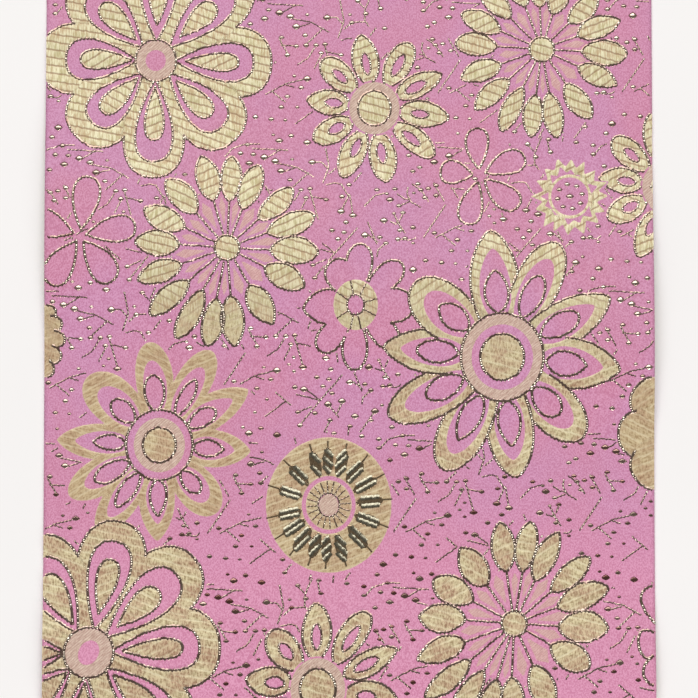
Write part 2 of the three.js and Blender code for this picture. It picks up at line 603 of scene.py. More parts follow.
def sun_figure(centre):
    count = len(FLAMES)
    tips, notches = FLAME_TIP * draw.uniform(0.92, 1.06, count), FLAME_NOTCH * draw.uniform(0.94, 1.06, count)
    gaps = star(tips * draw.uniform(0.52, 0.74, count), notches * FLAME_ROOT)
    shapes = (star(tips, notches), gaps, ring(SUN_RIM + SUN_BAND), ring(SUN_RIM))
    flames, gaps, rim, hole = ([path] for path in place(shapes, centre, tall=FLAME_TALL))
    clear(flames, gap=0.4)
    weave(gold, flames, SLANTS[1])
    cut(gold, gaps)
    weave(gold, rim, SLANTS[0])
    cut(gold, hole)


def fan_flower(centre):
    shapes = [ring(radius) for radius in (FAN_WIDTH, FAN_RING, FAN_DISC, FAN_HUB)]
    body, gap, disc, hub = ([path] for path in place(shapes, centre, tall=FAN_TALL))
    clear(body)
    weave(gold, body, SLANTS[3], FAN_PINK)
    cut(gold, gap)
    weave(gold, disc, SLANTS[0], FAN_PINK)
    turns = [360 / FAN_TICKS * i + TICK_START for i in range(FAN_TICKS)]
    ticks = place([spoke(turn, FAN_HUB + 0.3, FAN_DISC - 0.6) for turn in turns], centre, tall=FAN_TALL)
    outline_each(ticks, THREAD_WIDTH * 0.5, closed=False)
    clear(hub)
    weave(pale, hub)
    outline(hub, THREAD_WIDTH * 0.6)


def edge_flower(centre, reach, half, turns):
    petals = [petal(turn, EDGE_HEART, reach * vary(0.02), half, base=0.8, tip=0.45) for turn in turns]
    petals = place(petals, centre)
    clear(petals)
    weave_petals(petals, EDGE_PINK)
    outline_petals(petals, EDGE_OVERLAP)


sun_figure(SUN_CENTRE)
fan_flower(FAN_CENTRE)
for row in EDGE:
    edge_flower(**row)
print(f"gold {np.mean(gold < 0):.1%}, pale {np.mean(pale < 0):.1%} of the cloth, {len(stitches)} stitches")

# %% [markdown]
# ## Sprigs between the flowers
# The ground is sown with twigs of one gilt pick at a time, each ending in a dot. On the loom they come
# from one small patch that repeats over the whole width, so a patch is charted here once, as a table of
# sprigs, and stepped over the cloth. What falls on a flower is left out, as the weaver leaves it out.

# %% The repeat of sprigs and dots
PATCH_ACROSS, PATCH_ALONG = np.array([77.9, 0.6]), np.array([-6.3, -61.7])
PATCH_CORNER, CHART_STEP = np.array([-16.4, 67.0]), 0.42
LARGE, MIDDLE, SMALL = 2.0, 1.5, 1.1
DOT_CHART = {
    LARGE: (
        (8, 31), (-29, -19), (-35, -29), (-46, -33), (2, -28), (21, -55), (-3, -48), (-31, -50), (31, 22),
        (43, 26), (9, 53), (74, 31), (55, 46), (47, 65), (33, 68), (60, 80), (80, 75), (-61, -27),
        (-18, 34), (103, 81), (80, 10),
    ),
    MIDDLE: (
        (0, -1), (-9, 0), (-19, 0), (-29, 1), (-4, 8), (16, 10), (-38, 10), (-44, -8), (-59, -3), (-59, 7),
        (-67, 0), (-20, -10), (27, -23), (41, -32), (56, -37), (54, -50), (33, -45), (-19, -55), (-57, -36),
        (32, 7), (39, -5), (36, 33), (34, 43), (22, 41), (28, 50), (0, 51), (60, -17), (67, 0), (70, 48),
        (37, 57), (90, 41), (95, 49), (20, 77), (3, 76), (5, 89), (35, 84), (76, 54), (76, 84), (70, -57),
        (82, -47), (99, -44), (99, -35), (-63, -46), (-70, -37), (-24, 43), (-38, 52), (-44, 63), (-61, 45),
        (-70, 73), (-54, 75), (97, 91), (85, -1), (89, 16), (103, -19), (110, -23), (108, -6), (111, 0),
        (115, 8), (93, 23), (103, 38), (88, 50),
    ),
    SMALL: (
        (-1, 21), (-6, 28), (-1, 35), (-18, -31), (25, -31), (-37, -56), (87, 69), (-31, 31), (-28, 63),
        (-40, 76), (77, 4), (104, 3), (84, 24), (88, 33), (103, 54),
    ),
}
TWIG_CHART = (
    ((0, 2), (8, 30)), ((-3, 8), (-11, 24)), ((2, 7), (16, 10)), ((-11, 3), (-17, 13), (-28, 20)),
    ((-45, 0), (-29, 1)), ((-46, -6), (-37, 10)), ((15, -45), (19, -24), (13, -7)),
    ((2, -28), (12, -28), (18, -21)), ((27, -23), (19, -16)), ((27, -23), (41, -24), (44, -19)),
    ((47, -52), (40, -36), (40, -23)), ((33, -45), (39, -38)), ((53, -49), (55, -37)),
    ((-34, -27), (-14, -23), (4, -13)), ((-15, -22), (-28, -18)), ((-2, -17), (-19, -1)),
    ((-58, -42), (-22, -40)), ((-29, -41), (-43, -33)), ((16, -5), (25, -7), (31, -6), (38, 6)),
    ((39, 5), (31, 22)), ((40, 6), (43, 26)), ((51, -17), (44, -8)), ((55, 16), (65, 6), (77, 3)),
    ((58, 33), (67, 55)), ((59, 46), (68, 53)), ((76, 54), (68, 61), (67, 68)), ((47, 39), (25, 64), (4, 90)),
    ((12, 54), (25, 64)), ((1, 58), (25, 64)), ((3, 76), (17, 70)), ((33, 68), (44, 81)),
    ((47, 66), (42, 77)), ((80, 75), (65, 96)), ((35, 84), (29, 96)), ((54, 90), (53, 99)),
    ((107, 99), (93, 103), (85, 112)),
    ((107, 99), (120, 99)), ((-61, -5), (-51, 13)), ((-50, 17), (-72, 50)), ((-18, 34), (-39, 39), (-60, 50)),
    ((-40, 40), (-31, 43)), ((-53, 47), (-40, 58)), ((-19, 56), (-4, 69)), ((-9, 65), (-30, 80)),
    ((87, 4), (94, 9), (100, 10)), ((90, 16), (100, 12)), ((98, -2), (97, 4), (101, 12), (111, 18)),
    ((102, -6), (111, 0), (119, 12)), ((84, 24), (88, 33), (95, 44)), ((93, 24), (90, 31)),
    ((80, 32), (87, 35)), ((88, 50), (102, 51), (106, 48)),
)
TWIG_WIDTH, RUNG_PITCH, STEEP_TWIG = 0.82, 1.65, 0.66
DOT_GAP, SUN_DOTS, SUN_DOT_RING, SUN_DOT_TURN = 0.6, 8, 5.3, 0.2


def charted(points):
    """Points of the chart, counted across and down, in millimetres."""
    return np.array(points, float) * (CHART_STEP, -CHART_STEP)


def is_free(dot, others):
    """Whether a dot lies on the cloth, clear of every flower and of the dots already there."""
    x, y, radius = dot
    if abs(x) > CORNER[0] - radius or abs(y) > CORNER[1] - radius:
        return False
    if looked_up(taken, np.array([(x + aside, y) for aside in (-radius, 0.0, radius)])).any():
        return False
    return all(math.dist(dot[:2], other[:2]) > radius + other[2] * DOT_GAP for other in others)


steps = [PATCH_CORNER + PATCH_ACROSS * i + PATCH_ALONG * j for i in range(-3, 4) for j in range(-3, 5)]
twigs = np.concatenate([
    thread_along(charted(points) + step, False, TWIG_WIDTH, RUNG_PITCH, STEEP_TWIG)
    for step in steps for points in TWIG_CHART
])
twigs = twigs[looked_up(taken, twigs) == 0]
dots = []
for step in steps:
    for radius, points in DOT_CHART.items():
        for x, y in charted(points) + step:
            if is_free((x, y, radius), dots):
                dots.append((x, y, radius))
for turn in 2 * np.pi * np.arange(SUN_DOTS) / SUN_DOTS + SUN_DOT_TURN:
    x, y = SUN_CENTRE + SUN_DOT_RING * np.array([math.cos(turn), math.sin(turn)])
    dots.append((x, y, MIDDLE))
dots.append((*SUN_CENTRE, LARGE))
print(f"{len(TWIG_CHART)} strokes in the repeat, {len(twigs)} twig stitches, {len(dots)} dots on the cloth")

# %% [markdown]
# ## The satin sheet
# The ground is one closed sheet: a face, a reverse and a cut edge, on the swells above. The loom carries
# the gold weft behind the satin where no flower shows it, so the reverse looks like the figure turned
# inside out. A number on every point of the sheet says how much gold there is in front of it, and the
# reverse's finish reads it.

# %% Build the sheet
SHEET_STEP, EDGE_ROUND = 1.6, 0.2
FACE_SIDE, REVERSE_SIDE = 0, 1


def mesh_piece(name, points, faces=(), edges=(), smooth=True):
    """A mesh object at the origin from points in millimetres."""
    mesh = bpy.data.meshes.new(name)
    edges, faces = (rows.tolist() if isinstance(rows, np.ndarray) else list(rows) for rows in (edges, faces))
    mesh.from_pydata((np.asarray(points) * MM).tolist(), edges, faces)
    mesh.validate()
    mesh.polygons.foreach_set("use_smooth", [smooth] * len(mesh.polygons))
    piece = bpy.data.objects.new(name, mesh)
    bpy.context.scene.collection.objects.link(piece)
    return piece


def number_on_points(piece, name, values):
    """A named number on every point of a mesh."""
    layer = piece.data.attributes.new(name, "FLOAT", "POINT")
    layer.data.foreach_set("value", np.asarray(values, np.float32).ravel())


def grid_faces(across, along):
    """Faces of a grid of points, anticlockwise seen from above."""
    corner = (np.arange(along - 1)[:, None] * across + np.arange(across - 1)[None, :]).ravel()
    return np.stack([corner, corner + 1, corner + across + 1, corner + across], 1)


stride = round(SHEET_STEP / SQUARE)
sheet_x, sheet_y = np.meshgrid(chart_x[::stride], chart_y[::stride])
along, across = sheet_x.shape
face_z, back_z = face_at(sheet_x, sheet_y), lift_at(sheet_x, sheet_y)
on_rim = np.ones_like(face_z, bool)
on_rim[1:-1, 1:-1] = False
face_z[on_rim] -= EDGE_ROUND
points = np.concatenate([np.stack([sheet_x, sheet_y, z], 2).reshape(-1, 3) for z in (face_z, back_z)])
under = across * along
face_quads = grid_faces(across, along)
number = np.arange(under).reshape(along, across)
rim = np.concatenate([number[0, :-1], number[:-1, -1], number[-1, :0:-1], number[:0:-1, 0]])
following = np.roll(rim, -1)
rim_quads = np.stack([rim + under, following + under, following, rim], 1)
quads = np.concatenate([face_quads, face_quads[:, ::-1] + under, rim_quads])
satin_sheet = mesh_piece("satin_sheet", points, quads)
sides = np.full(len(quads), FACE_SIDE, np.int32)
sides[len(face_quads):2 * len(face_quads)] = REVERSE_SIDE
satin_sheet.data.polygons.foreach_set("material_index", sides)
figured = np.clip(0.5 - np.minimum(gold, pale)[::stride, ::stride], 0.0, 1.0).ravel()
number_on_points(satin_sheet, "figured", np.concatenate([figured, figured]))
print(f"sheet of {len(quads)} faces")

# %% [markdown]
# ## The gold and pale fills
# Gold weft floats over the satin inside the flowers, held down along slanting binding lines, so the fill
# is a low quilt. Its mesh keeps every chart square that touches the gold and slides the outer corners
# onto the true edge. The edge is sunk just under the satin and the middle stands proud of it. Numbers on
# the points tell the finish how the lines lean, how much pink shows and where the fringe of the fill is.

# %% Build the fills
FILL_STRIDE, FILL_HEIGHT, PALE_HEIGHT = 2, 0.15, 0.10
FILL_SINK, FILL_EDGE, FRINGE = 0.05, 0.9, 1.0
BIND_PITCH, BIND_DEPTH = 3.3, 0.04
FLATTEST, LONGEST_SLIDE = 0.25, 1.3


def quilt(x, y, slant):
    """Padded height between binding lines."""
    run = (y * np.cos(slant) - x * np.sin(slant)) / BIND_PITCH
    return 1.0 - (2.0 * (run - np.floor(run)) - 1.0) ** 4


def fill_piece(name, layer, height, quilted):
    """A raised patch where a chart layer is negative."""
    part = np.s_[::FILL_STRIDE, ::FILL_STRIDE]
    away, slant = layer[part], lean[part]
    x, y = np.meshgrid(chart_x[::FILL_STRIDE], chart_y[::FILL_STRIDE])
    spacing = SQUARE * FILL_STRIDE
    rise_y, rise_x = np.gradient(away, spacing)
    slide = np.clip(away, 0.0, spacing * LONGEST_SLIDE) / np.maximum(rise_x**2 + rise_y**2, FLATTEST)
    edge_x = np.clip(x - rise_x * slide, -CORNER[0], CORNER[0])
    edge_y = np.clip(y - rise_y * slide, -CORNER[1], CORNER[1])
    share = np.clip(-away / FILL_EDGE, 0.0, 1.0)
    raised = share * share * (3 - 2 * share)
    z = face_at(edge_x, edge_y) + height * raised - FILL_SINK
    if quilted:
        z = z + BIND_DEPTH * raised * quilt(edge_x, edge_y, slant)
    faces = grid_faces(away.shape[1], away.shape[0])
    faces = faces[(away.ravel()[faces] < 0).any(axis=1)]
    used, faces = np.unique(faces, return_inverse=True)
    piece = mesh_piece(name, np.stack([edge_x, edge_y, z], 2).reshape(-1, 3)[used], faces.reshape(-1, 4))
    fringe = np.clip(1.0 + away / FRINGE, 0.0, 1.0)
    for label, values in (("lean", slant), ("blush", blush[part]), ("fringe", fringe)):
        number_on_points(piece, label, values.ravel()[used])
    print(f"{name}: {len(piece.data.polygons)} faces")
    return piece


gold_fill = fill_piece("gold_fill", gold, FILL_HEIGHT, True)
pale_fill = fill_piece("pale_fill", pale, PALE_HEIGHT, False)

# %% [markdown]
# ## Trees that make gilt thread
# Beads, rungs and dots are one small strand repeated many times, which is what instances are for. The
# tree reads the size and turn that each point carries, sets one strand there, and realizes the copies so
# that they are plain mesh in the end. One helper adds a node, with its settings and its joined sockets.

# %% A Geometry Nodes tree that sets strands on points
def new_tree(name, kind, inputs, outputs):
    """A node tree with named sockets, and the sockets that come in."""
    tree = bpy.data.node_groups.new(name, kind)
    for way, sockets in (("INPUT", inputs), ("OUTPUT", outputs)):
        for label, carries in sockets.items():
            tree.interface.new_socket(label, in_out=way, socket_type="NodeSocket" + carries)
    return tree, tree.nodes.new("NodeGroupInput").outputs


def add(tree, kind, inputs, **settings):
    """A node's outputs, after its settings are made and its inputs joined to sockets or set to values."""
    node = tree.nodes.new(kind)
    for label, value in settings.items():
        setattr(node, label, value)
    for socket, value in inputs.items():
        if isinstance(value, bpy.types.NodeSocket):
            tree.links.new(value, node.inputs[socket])
        else:
            node.inputs[socket].default_value = value
    return node.outputs


def carried(tree, name, kind):
    """What every point carries under a name."""
    return add(tree, "GeometryNodeInputNamedAttribute", {"Name": name}, data_type=kind)["Attribute"]


def end_tree(tree, geometry, finish):
    """Plain mesh with its finish, as the tree's result."""
    plain = add(tree, "GeometryNodeRealizeInstances", {"Geometry": geometry})["Geometry"]
    dressed = add(tree, "GeometryNodeSetMaterial", {"Geometry": plain, "Material": finish})["Geometry"]
    add(tree, "NodeGroupOutput", {"Geometry": dressed})
    return tree


def set_down_tree():
    inputs = {"Geometry": "Geometry", "Strand": "Object", "Finish": "Material"}
    tree, enter = new_tree("set_down_strands", "GeometryNodeTree", inputs, {"Geometry": "Geometry"})
    strand = add(tree, "GeometryNodeObjectInfo", {"Object": enter["Strand"]})["Geometry"]
    turn = add(tree, "FunctionNodeEulerToRotation", {"Euler": carried(tree, "turn", "FLOAT_VECTOR")})
    spread = add(tree, "GeometryNodeInstanceOnPoints", {
        "Points": enter["Geometry"], "Instance": strand,
        "Scale": carried(tree, "size", "FLOAT_VECTOR"), "Rotation": turn["Rotation"],
    })
    return end_tree(tree, spread["Instances"], enter["Finish"])


STRANDS_TREE = set_down_tree()


def made_plain(piece, tree, **values):
    """The piece with a tree's result as its plain mesh."""
    modifier = piece.modifiers.new(tree.name, "NODES")
    modifier.node_group = tree
    named = {item.name: item.identifier for item in tree.interface.items_tree if item.in_out == "INPUT"}
    for label, value in values.items():
        modifier[named[label]] = value
    bpy.context.view_layer.update()
    graph = bpy.context.evaluated_depsgraph_get()
    plain = bpy.data.meshes.new_from_object(piece.evaluated_get(graph), depsgraph=graph)
    piece.modifiers.clear()
    piece.data = plain
    print(f"{piece.name}: {sum(len(face.vertices) - 2 for face in plain.polygons)} triangles")
    return piece


def set_down(name, strand, finish, middles, sizes, turns, tones):
    """One mesh of a strand repeated at points, each with its own size, turn and tone."""
    piece = mesh_piece(name, middles)
    for label, values in (("size", np.asarray(sizes) * MM), ("turn", turns)):
        layer = piece.data.attributes.new(label, "FLOAT_VECTOR", "POINT")
        layer.data.foreach_set("vector", np.asarray(values, np.float32).ravel())
    number_on_points(piece, "tone", tones)
    return made_plain(piece, STRANDS_TREE, Strand=strand, Finish=finish)


# %% [markdown]
# A second tree draws the long floats: it takes lines of points, and moves a section along each line. Every
# point carries the thread's width there and how far it leans. The underside is shaded flat, so that the
# thread keeps a crisp edge where it meets the cloth.

# %% A Geometry Nodes tree that draws a thread along lines
def sweep_tree():
    inputs = {"Geometry": "Geometry", "Section": "Object", "Finish": "Material"}
    tree, enter = new_tree("drawn_thread", "GeometryNodeTree", inputs, {"Geometry": "Geometry"})
    section = add(tree, "GeometryNodeObjectInfo", {"Object": enter["Section"]})["Geometry"]
    rim = add(tree, "GeometryNodeMeshToCurve", {"Mesh": section})["Curve"]
    line = add(tree, "GeometryNodeMeshToCurve", {"Mesh": enter["Geometry"]})["Curve"]
    upright = add(tree, "GeometryNodeSetCurveNormal", {"Curve": line}, mode="Z_UP")["Curve"]
    leans = carried(tree, "lean", "FLOAT")
    tilted = add(tree, "GeometryNodeSetCurveTilt", {"Curve": upright, "Tilt": leans})["Curve"]
    drawn = add(tree, "GeometryNodeCurveToMesh", {
        "Curve": tilted, "Profile Curve": rim, "Scale": carried(tree, "width", "FLOAT"), "Fill Caps": True,
    })["Mesh"]
    smooth = add(tree, "GeometryNodeSetShadeSmooth", {"Geometry": drawn})["Geometry"]
    facing = add(tree, "ShaderNodeSeparateXYZ", {0: add(tree, "GeometryNodeInputNormal", {})["Normal"]})
    below = add(tree, "FunctionNodeCompare", {0: facing["Z"]}, data_type="FLOAT", operation="LESS_THAN")
    crisp = add(tree, "GeometryNodeSetShadeSmooth", {
        "Geometry": smooth, "Selection": below["Result"], "Shade Smooth": False,
    })["Geometry"]
    return end_tree(tree, crisp, enter["Finish"])


SWEEP_TREE = sweep_tree()


def draw_thread(name, section, finish, rows, rise, leans, tones):
    """One mesh of thread along the stitches that follow one another."""
    x, y, heading, width, label, step = rows[:, :6].T
    first = np.flatnonzero((label[1:] == label[:-1]) & (step[1:] == step[:-1] + 1))
    piece = mesh_piece(name, np.stack([x, y, rise], 1), edges=np.stack([first, first + 1], 1))
    for label, values in (("width", width / 2 * MM), ("lean", leans * np.cos(heading)), ("tone", tones)):
        number_on_points(piece, label, values)
    return made_plain(piece, SWEEP_TREE, Section=section, Finish=finish)


# %% [markdown]
# ## Finishes
# Six finishes dress the cloth: pink satin and its reverse, gold fill, pale twill, gilt thread and the
# scratched gilt of the fan's blades. Satin and reverse share one weave group, the fills share another with
# ribs and binding lines, and a third group tells the far part of the cloth from its front. The groups give
# out masks only, and every number that is the same all over stays on the shader.

# %% Helpers for finishes
def maths(tree, operation, first, second=0.0):
    return add(tree, "ShaderNodeMath", {0: first, 1: second}, operation=operation)[0]


def noise(tree, spot, repeats, detail=2.0):
    """Noise with so many repeats in a millimetre along each axis."""
    factors = [repeat / MM for repeat in repeats]
    scaled = add(tree, "ShaderNodeVectorMath", {0: spot, 1: factors}, operation="MULTIPLY")[0]
    return add(tree, "ShaderNodeTexNoise", {"Vector": scaled, "Scale": 1.0, "Detail": detail})["Fac"]


def between(tree, value, low, high):
    """A value brought softly from low to high onto nought to one."""
    inputs = {"Value": value, "From Min": low, "From Max": high}
    return add(tree, "ShaderNodeMapRange", inputs, interpolation_type="SMOOTHSTEP")["Result"]


def colour(value):
    """A socket as it is, or a screen colour from 0 to 255 as linear light."""
    if isinstance(value, bpy.types.NodeSocket):
        return value
    shares = np.array(value) / 255.0
    linear = np.where(shares <= 0.04045, shares / 12.92, ((shares + 0.055) / 1.055) ** 2.4)
    return (*linear.tolist(), 1.0)


def blend(tree, share, first, second):
    """A colour between two others."""
    return add(tree, "ShaderNodeMix", {0: share, 6: colour(first), 7: colour(second)}, data_type="RGBA")[2]


def new_finish(name, roughness, metallic=0.0, sheen=0.0, specular=0.5):
    """A finish, its node tree and the place on the piece."""
    finish = bpy.data.materials.new(name)
    finish.use_nodes = True
    shader = finish.node_tree.nodes["Principled BSDF"]
    for label, value in (
        ("Roughness", roughness), ("Metallic", metallic),
        ("Sheen Weight", sheen), ("Specular IOR Level", specular),
    ):
        shader.inputs[label].default_value = value
    return finish, finish.node_tree, add(finish.node_tree, "ShaderNodeTexCoord", {})["Object"]


def paint(tree, hue, height=None, depth=0.0):
    """Give the shader its colour, and a bump of some depth in millimetres."""
    shader = tree.nodes["Principled BSDF"]
    tree.links.new(hue, shader.inputs["Base Color"])
    if height is not None:
        raised = add(tree, "ShaderNodeBump", {"Strength": 1.0, "Distance": depth * MM, "Height": height})
        tree.links.new(raised["Normal"], shader.inputs["Normal"])


def use_group(tree, group, **values):
    return add(tree, "ShaderNodeGroup", values, node_tree=group)


def read_number(tree, name):
    return add(tree, "ShaderNodeAttribute", {}, attribute_name=name)["Fac"]


def mask_group(name, numbers, masks):
    """A shader group that reads a place and some numbers and gives out masks."""
    inputs = {"Vector": "Vector", **dict.fromkeys(numbers, "Float")}
    return new_tree(name, "ShaderNodeTree", inputs, dict.fromkeys(masks, "Float"))


# %% [markdown]
# Satin shows long warp floats, so its fine mottle is drawn out along the cloth, over a slow change of
# tone where the dye and the light vary a little. The front of the cloth is painted a lighter pink, which
# is painted light. On the reverse, loose gold weft hides the satin wherever the face has none.

# %% Satin weave and the pink finishes
MOTTLE_FACE, MOTTLE_REVERSE, FLOCK = 6.5, 1.8, 0.9
LUSTRE_NEAR, LUSTRE_FAR, FRONT_NEAR, FRONT_FAR = -15.0, 40.0, -110.0, -45.0
# The third pair is a lighter pink for the front of the cloth, where it stands for painted light.
PINK = dict(
    rose=((198, 126, 158), (218, 153, 184)),
    lilac=((196, 130, 168), (215, 156, 193)),
    lit_front_pink=((207, 133, 167), (228, 161, 193)),
)
REVERSE_WEFT, REVERSE_PINK = ((176, 150, 124), (208, 184, 150)), ((190, 128, 156), (208, 148, 176))


def satin_group():
    group, enter = mask_group("satin_weave", ["Mottle"], ["Tone", "Drift", "Height"])
    spot = enter["Vector"]
    fine = noise(group, spot, (1.7, 1.3, 1.0), 3.0)
    slow = noise(group, spot, (0.022, 0.018, 0.02))
    speck = noise(group, spot, (0.35, 0.25, 1.0))
    grain = maths(group, "MULTIPLY", maths(group, "SUBTRACT", fine, 0.5), enter["Mottle"])
    flock = maths(group, "MULTIPLY", maths(group, "SUBTRACT", speck, 0.5), FLOCK)
    tone = maths(group, "ADD", maths(group, "ADD", grain, flock), 0.5)
    drift = between(group, slow, 0.35, 0.65)
    add(group, "NodeGroupOutput", {"Tone": tone, "Drift": drift, "Height": fine})
    return group


def lustre_group():
    """Masks for the far part of the cloth, nearer the window, and for its front part, where finishes paint
    light and shade.
    """
    group, enter = mask_group("window_lustre", [], ["Far", "Front"])
    y = add(group, "ShaderNodeSeparateXYZ", {0: enter["Vector"]})["Y"]
    far = between(group, y, LUSTRE_NEAR * MM, LUSTRE_FAR * MM)
    front = maths(group, "SUBTRACT", 1.0, between(group, y, FRONT_NEAR * MM, FRONT_FAR * MM))
    add(group, "NodeGroupOutput", {"Far": far, "Front": front})
    return group


SATIN_WEAVE, WINDOW_LUSTRE = satin_group(), lustre_group()


def satin_finish():
    finish, tree, spot = new_finish("pink_satin", roughness=0.48, sheen=0.12, specular=0.35)
    woven = use_group(tree, SATIN_WEAVE, Vector=spot, Mottle=MOTTLE_FACE)
    rose, lilac, lit_front_pink = (blend(tree, woven["Tone"], *pair) for pair in PINK.values())
    # Painted light: the front of the cloth is blended towards the lighter pink.
    front = use_group(tree, WINDOW_LUSTRE, Vector=spot)["Front"]
    paint(tree, blend(tree, front, blend(tree, woven["Drift"], rose, lilac), lit_front_pink), woven["Height"], 0.06)
    return finish


def reverse_finish():
    finish, tree, spot = new_finish("satin_reverse", roughness=0.6, sheen=0.1, specular=0.3)
    woven = use_group(tree, SATIN_WEAVE, Vector=spot, Mottle=MOTTLE_REVERSE)
    loose = noise(tree, spot, (0.5, 3.0, 1.0), 3.0)
    weft, ground = blend(tree, loose, *REVERSE_WEFT), blend(tree, woven["Tone"], *REVERSE_PINK)
    paint(tree, blend(tree, read_number(tree, "figured"), weft, ground), loose, 0.1)
    return finish


satin_sheet.data.materials.append(satin_finish())
satin_sheet.data.materials.append(reverse_finish())

# %% [markdown]
# The gold fill has upright ribs of weft and thin lines where the weft is bound down. Its finish paints
# light and shade that change along the cloth: far off a painted shine on the ribs and lines painted dark,
# in front floats flecked with painted shade and lines painted light. Petals with pink showing through are
# softer, brushed along their lines. Each petal carries its own slant as a number on the mesh, and the rows
# of floats end unevenly, so a noise shifts the lines a little.

# %% Ribbed weave
RIB_REPEATS, FLECK_REPEATS, JAG_REPEATS = (1.5, 0.26, 1.0), (1.6, 0.55, 1.0), (0.5, 0.14, 1.0)
PATCH_REPEATS, BRUSH_REPEATS = (0.10, 0.13, 1.0), (0.40, 1.3, 1.0)
LINE_CORE, LINE_EDGE, LINE_DEPTH = 0.05, 0.17, 0.8


def ribbed_group():
    masks = ["Rib", "Fleck", "Line", "Brush", "Patch", "Height"]
    group, enter = mask_group("ribbed_weave", ["Lean", "Pitch", "Jag"], masks)
    spot = enter["Vector"]
    x, y, _ = add(group, "ShaderNodeSeparateXYZ", {0: spot})
    cosine, sine = maths(group, "COSINE", enter["Lean"]), maths(group, "SINE", enter["Lean"])
    across = maths(group, "MULTIPLY", y, cosine), maths(group, "MULTIPLY", x, sine)
    along = maths(group, "MULTIPLY", x, cosine), maths(group, "MULTIPLY", y, sine)
    rise, forward = maths(group, "SUBTRACT", *across), maths(group, "ADD", *along)
    slanted = add(group, "ShaderNodeCombineXYZ", {"X": forward, "Y": rise})["Vector"]
    jag = maths(group, "SUBTRACT", noise(group, spot, JAG_REPEATS, 1.0), 0.5)
    run = maths(group, "DIVIDE", maths(group, "DIVIDE", rise, MM), enter["Pitch"])
    share = maths(group, "FRACT", maths(group, "ADD", run, maths(group, "MULTIPLY", jag, enter["Jag"])))
    near = maths(group, "MINIMUM", share, maths(group, "SUBTRACT", 1.0, share))
    line = maths(group, "SUBTRACT", 1.0, between(group, near, LINE_CORE, LINE_EDGE))
    rib = between(group, noise(group, spot, RIB_REPEATS), 0.34, 0.66)
    add(group, "NodeGroupOutput", {
        "Rib": rib,
        "Fleck": between(group, noise(group, spot, FLECK_REPEATS), 0.34, 0.66),
        "Line": line,
        "Brush": between(group, noise(group, slanted, BRUSH_REPEATS, 4.0), 0.3, 0.7),
        "Patch": between(group, noise(group, spot, PATCH_REPEATS, 3.0), 0.36, 0.64),
        "Height": maths(group, "SUBTRACT", rib, maths(group, "MULTIPLY", line, LINE_DEPTH)),
    })
    return group


RIBBED_WEAVE = ribbed_group()

# %% [markdown]
# The weave is one group and the colours are another matter. Gold is blended from a near look and a far
# look, painted shade in front and a painted shine far off, with a softer one for petals that show pink, and
# the fringe of every fill is lighter. The pale weave is a fine twill, which is the same ribs with a closer
# pitch and a steeper lean.

# %% The gold and pale finishes
# Near colours paint shade flecks and light highlight lines. Far colours paint a shine on the ribs and shaded
# dark lines.
NEAR_SHADE, NEAR_FLOAT = ((150, 114, 88), (150, 124, 86)), (224, 206, 168)
NEAR_PATCH, NEAR_HIGHLIGHT_LINE = ((204, 164, 138), (250, 244, 198)), (240, 230, 194)
FAR_SHADE, FAR_SHINE_FLOAT, FAR_SHADE_LINE = ((198, 174, 136), (194, 184, 138)), (236, 230, 194), (148, 112, 84)
SOFT_SHADE, SOFT_FLOAT, SOFT_LINE = ((156, 120, 88), (174, 142, 104)), (212, 186, 148), (236, 220, 186)
FRINGE_GOLD = (238, 222, 192)
TWILL, TWILL_LINE, TWILL_PINK = ((192, 162, 146), (226, 204, 186)), (182, 138, 136), (222, 158, 172)


def gold_finish():
    finish, tree, spot = new_finish("gold_weft", roughness=0.45, metallic=0.2, specular=0.4)
    woven = use_group(
        tree, RIBBED_WEAVE, Vector=spot, Lean=read_number(tree, "lean"), Pitch=BIND_PITCH, Jag=0.3
    )
    line, patch, brush = woven["Line"], woven["Patch"], woven["Brush"]
    flecked = blend(tree, woven["Fleck"], blend(tree, patch, *NEAR_SHADE), NEAR_FLOAT)
    patched = blend(tree, maths(tree, "MULTIPLY", brush, 0.55), flecked, blend(tree, patch, *NEAR_PATCH))
    shown = maths(tree, "ADD", maths(tree, "MULTIPLY", patch, 0.45), 0.25)
    near = blend(tree, maths(tree, "MULTIPLY", line, shown), patched, NEAR_HIGHLIGHT_LINE)
    ribbed = blend(tree, woven["Rib"], blend(tree, patch, *FAR_SHADE), FAR_SHINE_FLOAT)
    far = blend(tree, maths(tree, "MULTIPLY", line, 0.70), ribbed, FAR_SHADE_LINE)
    # Painted light and shade: the far part of the fill takes the shining look, the front the shaded one.
    lit_and_shaded_yarn = blend(tree, use_group(tree, WINDOW_LUSTRE, Vector=spot)["Far"], near, far)
    brushed = blend(tree, brush, blend(tree, patch, *SOFT_SHADE), SOFT_FLOAT)
    soft = blend(tree, maths(tree, "MULTIPLY", line, 0.3), brushed, SOFT_LINE)
    blushed = read_number(tree, "blush")
    fringed = maths(tree, "MULTIPLY", read_number(tree, "fringe"), 0.5)
    crisp = maths(tree, "SUBTRACT", 1.0, maths(tree, "MULTIPLY", blushed, 0.5))
    hue = blend(tree, fringed, blend(tree, blushed, lit_and_shaded_yarn, soft), FRINGE_GOLD)
    paint(tree, hue, maths(tree, "MULTIPLY", woven["Height"], crisp), 0.05)
    return finish


def pale_finish():
    finish, tree, spot = new_finish("pale_twill", roughness=0.5, metallic=0.05, specular=0.4)
    woven = use_group(tree, RIBBED_WEAVE, Vector=spot, Lean=0.7, Pitch=0.9, Jag=0.1)
    bound = maths(tree, "MULTIPLY", woven["Line"], 0.70)
    twill = blend(tree, bound, blend(tree, woven["Brush"], *TWILL), TWILL_LINE)
    thin = maths(tree, "MULTIPLY", read_number(tree, "blush"), 0.45)
    paint(tree, blend(tree, thin, twill, TWILL_PINK), woven["Height"], 0.05)
    return finish


gold_fill.data.materials.append(gold_finish())
pale_fill.data.materials.append(pale_finish())

